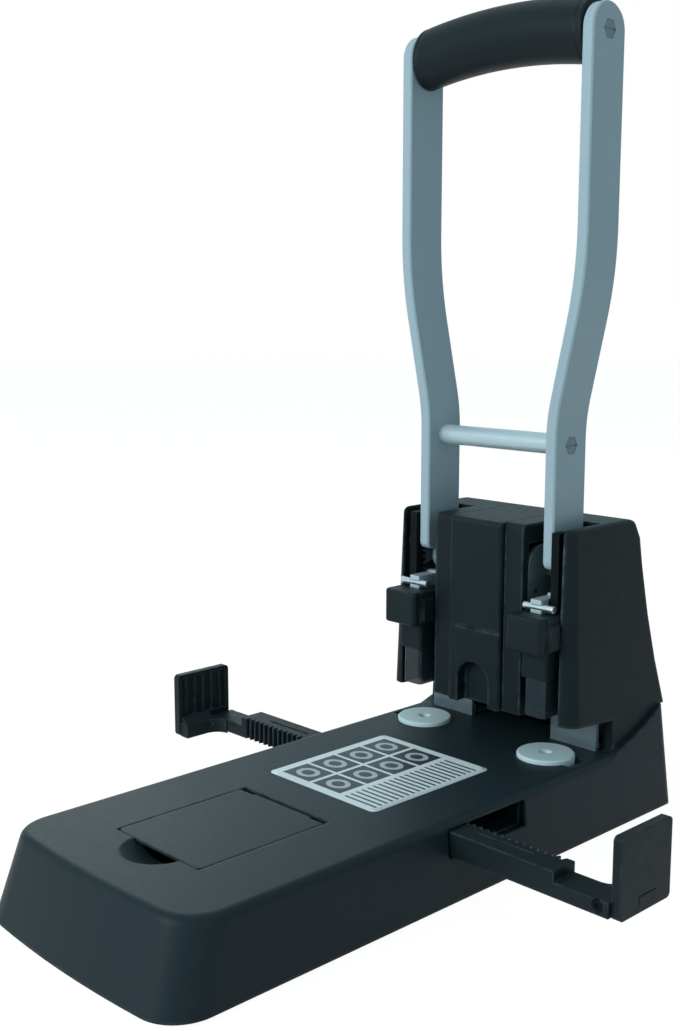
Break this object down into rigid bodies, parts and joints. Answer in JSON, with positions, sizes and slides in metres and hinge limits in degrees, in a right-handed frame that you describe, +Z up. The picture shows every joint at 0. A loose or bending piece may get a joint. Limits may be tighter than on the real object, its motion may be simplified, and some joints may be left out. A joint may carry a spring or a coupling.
{
  "type": "two hole lever punch",
  "caption": "Heavy-duty lever punch: long base with side paper guides and lidded tub, tower with sliding cutters, tall two-arm lever with a grip.",
  "frame": {"origin": "middle of the base's length and width, on the surface the feet stand on", "axes": "+X to the right across the base, +Y from the front of the base to the tower, +Z up"},
  "size_m": [0.297, 0.322, 0.3935],
  "materials": {
    "deck_plastic": "fine grained satin black",
    "tower_plastic": "fine grained satin black",
    "black_plastic": "satin black",
    "grip_plastic": "smooth dark grip",
    "foot_rubber": "matt",
    "lever_paint": "satin silver-grey paint",
    "bracket_steel": "zinc plated sheet",
    "bright_steel": "bright plated",
    "dark_steel": "oiled dark steel",
    "disc_plastic": "pale grey moulded",
    "clear_guard": "clear grey plastic"
  },
  "bodies": {
    "base": {"base_shell": "deck_plastic", "bottom_plate": "black_plastic", "rubber_feet": "foot_rubber", "bottom_screws": "bright_steel", "lid_pin": "bright_steel", "guide_tray": "black_plastic", "pinion_axle": "bright_steel", "tower_cover": "tower_plastic", "centre_cover": "tower_plastic", "pivot_shaft": "dark_steel", "bracket_screws": "bright_steel", "left_disc_pin": "bright_steel", "left_bracket": "bracket_steel", "left_spring_rod": "bright_steel", "left_return_spring": "bright_steel", "right_disc_pin": "bright_steel", "right_bracket": "bracket_steel", "right_spring_rod": "bright_steel", "right_return_spring": "bright_steel"},
    "lid": {"storage_lid": "deck_plastic"},
    "lever": {"hand_grip": "grip_plastic", "grip_bolts": "lever_paint", "grip_tube": "dark_steel", "rod_screws": "lever_paint", "lever_cross_rod": "lever_paint", "left_lever_arm": "lever_paint", "left_sector": "dark_steel", "right_lever_arm": "lever_paint", "right_sector": "dark_steel"},
    "pinion": {"guide_pinion": "black_plastic"},
    "left_punch": {"left_punch_holder": "bright_steel", "left_cross_pin": "bright_steel", "left_punch_cutter": "bright_steel", "left_head_knob": "black_plastic", "left_head_collar": "black_plastic", "left_drive_rack": "bright_steel"},
    "left_guard": {"left_paper_guard": "clear_guard"},
    "left_disc": {"left_cutting_disc": "disc_plastic"},
    "left_guide": {"left_guide_arm": "black_plastic", "left_stop_plate": "black_plastic", "left_plate_screw": "dark_steel"},
    "right_punch": {"right_punch_holder": "bright_steel", "right_cross_pin": "bright_steel", "right_punch_cutter": "bright_steel", "right_head_knob": "black_plastic", "right_head_collar": "black_plastic", "right_drive_rack": "bright_steel"},
    "right_guard": {"right_paper_guard": "clear_guard"},
    "right_disc": {"right_cutting_disc": "disc_plastic"},
    "right_guide": {"right_guide_arm": "black_plastic", "right_stop_plate": "black_plastic", "right_plate_screw": "dark_steel"}
  },
  "joints": [
    {"name": "lever_swing", "type": "hinge", "parent": "base", "child": "lever", "pos_m": [0, 0.104, 0.124], "axis": [1, 0, 0], "range_deg": [0, 78], "stiffness_Nm_per_rad": 1.5, "springref_deg": -17.19},
    {"name": "left_punch_slide", "type": "slide", "parent": "base", "child": "left_punch", "axis": [0, 0, -1], "range_m": [0, 0.0192], "deforming": ["left_return_spring"]},
    {"name": "left_guard_lift", "type": "slide", "parent": "left_punch", "child": "left_guard", "axis": [0, 0, 1], "range_m": [0, 0.017], "stiffness_N_per_m": 20, "springref_m": -0.01},
    {"name": "left_disc_turn", "type": "hinge", "parent": "base", "child": "left_disc", "pos_m": [-0.04, 0.088, 0.037], "axis": [0, 0, 1], "continuous": true},
    {"name": "right_punch_slide", "type": "slide", "parent": "base", "child": "right_punch", "axis": [0, 0, -1], "range_m": [0, 0.0192], "deforming": ["right_return_spring"]},
    {"name": "right_guard_lift", "type": "slide", "parent": "right_punch", "child": "right_guard", "axis": [0, 0, 1], "range_m": [0, 0.017], "stiffness_N_per_m": 20, "springref_m": -0.01},
    {"name": "right_disc_turn", "type": "hinge", "parent": "base", "child": "right_disc", "pos_m": [0.04, 0.088, 0.037], "axis": [0, 0, 1], "continuous": true},
    {"name": "right_guide_slide", "type": "slide", "parent": "base", "child": "right_guide", "axis": [1, 0, 0], "range_m": [-0.05, 0.012]},
    {"name": "left_guide_slide", "type": "slide", "parent": "base", "child": "left_guide", "axis": [-1, 0, 0], "range_m": [-0.05, 0.012]},
    {"name": "pinion_turn", "type": "hinge", "parent": "base", "child": "pinion", "pos_m": [0, 0.016, 0.027], "axis": [0, 0, 1], "range_deg": [-239, 58]},
    {"name": "lid_hinge", "type": "hinge", "parent": "base", "child": "lid", "pos_m": [0, -0.0478, 0.0347], "axis": [-1, 0, 0], "range_deg": [0, 100]}
  ],
  "couplings": [
    {"joint": "left_punch_slide", "follows": "lever_swing", "m_per_rad": 0.014},
    {"joint": "right_punch_slide", "follows": "lever_swing", "m_per_rad": 0.014},
    {"joint": "left_guide_slide", "follows": "right_guide_slide", "ratio": 1},
    {"joint": "pinion_turn", "follows": "right_guide_slide", "rad_per_m": 83.333}
  ]
}
